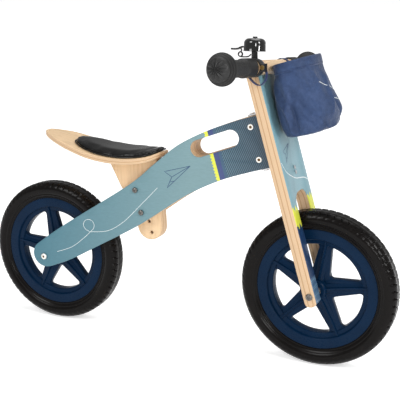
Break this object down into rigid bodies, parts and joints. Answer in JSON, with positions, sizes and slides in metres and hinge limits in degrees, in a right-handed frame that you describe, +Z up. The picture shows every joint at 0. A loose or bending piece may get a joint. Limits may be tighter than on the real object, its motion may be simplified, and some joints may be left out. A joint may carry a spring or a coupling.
{
  "type": "wooden balance bike",
  "caption": "Wooden balance bike with splayed plywood frame, flat steering fork, spoked foam-tyred wheels, height-adjustable padded saddle, bell and handlebar bag.",
  "frame": {"origin": "on the ground, midway between the two axles, on the centre plane", "axes": "+X forward, +Y to the rider's left, +Z up"},
  "size_m": [0.878, 0.4832, 0.6136],
  "materials": {
    "painted_ply": "light blue satin paint on birch plywood, bare edges",
    "ply": "clear-lacquered birch plywood",
    "leatherette": "glossy black leatherette",
    "foam_tyre": "matt EVA foam",
    "rim_plastic": "semi-gloss navy plastic",
    "grip_rubber": "matt black rubber",
    "bag_fabric": "navy woven polyester",
    "black_plastic": "black plastic",
    "bell_black": "gloss black lacquered metal",
    "brass": "brass-plated screw",
    "nylon": "natural nylon",
    "steel": "zinc-plated steel"
  },
  "bodies": {
    "frame": {"frame_panel_right": "painted_ply", "frame_panel_left": "painted_ply", "frame_core": "ply", "seat_support": "ply", "seat_board": "ply", "seat_pad": "leatherette", "seat_screw_rear": "steel", "seat_screw_front": "steel", "seat_bolt_upper": "steel", "seat_bolt_lower": "steel", "seat_nut_upper": "steel", "seat_nut_lower": "steel", "seat_spacer_upper_right": "nylon", "seat_spacer_upper_left": "nylon", "seat_spacer_lower_right": "nylon", "seat_spacer_lower_left": "nylon", "steering_barrel_nut_upper": "steel", "steering_barrel_nut_lower": "steel", "steering_bolt_upper": "steel", "steering_bolt_lower": "steel", "steering_washer_upper": "nylon", "steering_washer_lower": "nylon", "rear_axle_bolt": "steel", "rear_axle_cap": "steel", "rear_axle_spacer_right": "black_plastic", "rear_axle_spacer_left": "black_plastic"},
    "rear_wheel": {"rear_tyre": "foam_tyre", "rear_rim": "rim_plastic", "rear_hub_bush_right": "steel", "rear_hub_bush_left": "steel"},
    "fork": {"fork_board": "painted_ply", "steering_bracket_upper": "steel", "steering_bracket_lower": "steel", "bracket_screw_upper_1": "steel", "bracket_screw_upper_2": "steel", "bracket_screw_lower_1": "steel", "bracket_screw_lower_2": "steel", "handlebar": "ply", "handlebar_screw_right": "steel", "handlebar_screw_left": "steel", "grip_right": "grip_rubber", "grip_left": "grip_rubber", "bag": "bag_fabric", "bag_strap_right": "bag_fabric", "bag_strap_left": "bag_fabric", "bell_clamp": "black_plastic", "bell_clamp_screw": "brass", "bell_dome": "bell_black", "bell_dome_nut": "bell_black", "bell_spring": "bell_black", "front_axle_bolt": "steel", "front_axle_cap": "steel", "front_axle_nut_right": "steel", "front_axle_nut_left": "steel"},
    "front_wheel": {"front_tyre": "foam_tyre", "front_rim": "rim_plastic", "front_hub_bush_right": "steel", "front_hub_bush_left": "steel"},
    "striker": {"bell_striker": "bell_black"}
  },
  "joints": [
    {"name": "steering", "type": "hinge", "parent": "frame", "child": "fork", "pos_m": [0.16637, 0, 0.41613], "axis": [-0.284, 0, 0.9588], "range_deg": [-35, 35]},
    {"name": "front_wheel_spin", "type": "hinge", "parent": "fork", "child": "front_wheel", "pos_m": [0.289, 0, 0.15], "axis": [0, 1, 0], "continuous": true},
    {"name": "rear_wheel_spin", "type": "hinge", "parent": "frame", "child": "rear_wheel", "pos_m": [-0.289, 0, 0.15], "axis": [0, 1, 0], "continuous": true},
    {"name": "bell_lever", "type": "hinge", "parent": "fork", "child": "striker", "pos_m": [0.15687, -0.07723, 0.58139], "axis": [0.0168, 0.9982, -0.0569], "range_deg": [-25, 8], "stiffness_Nm_per_rad": 0.02}
  ]
}
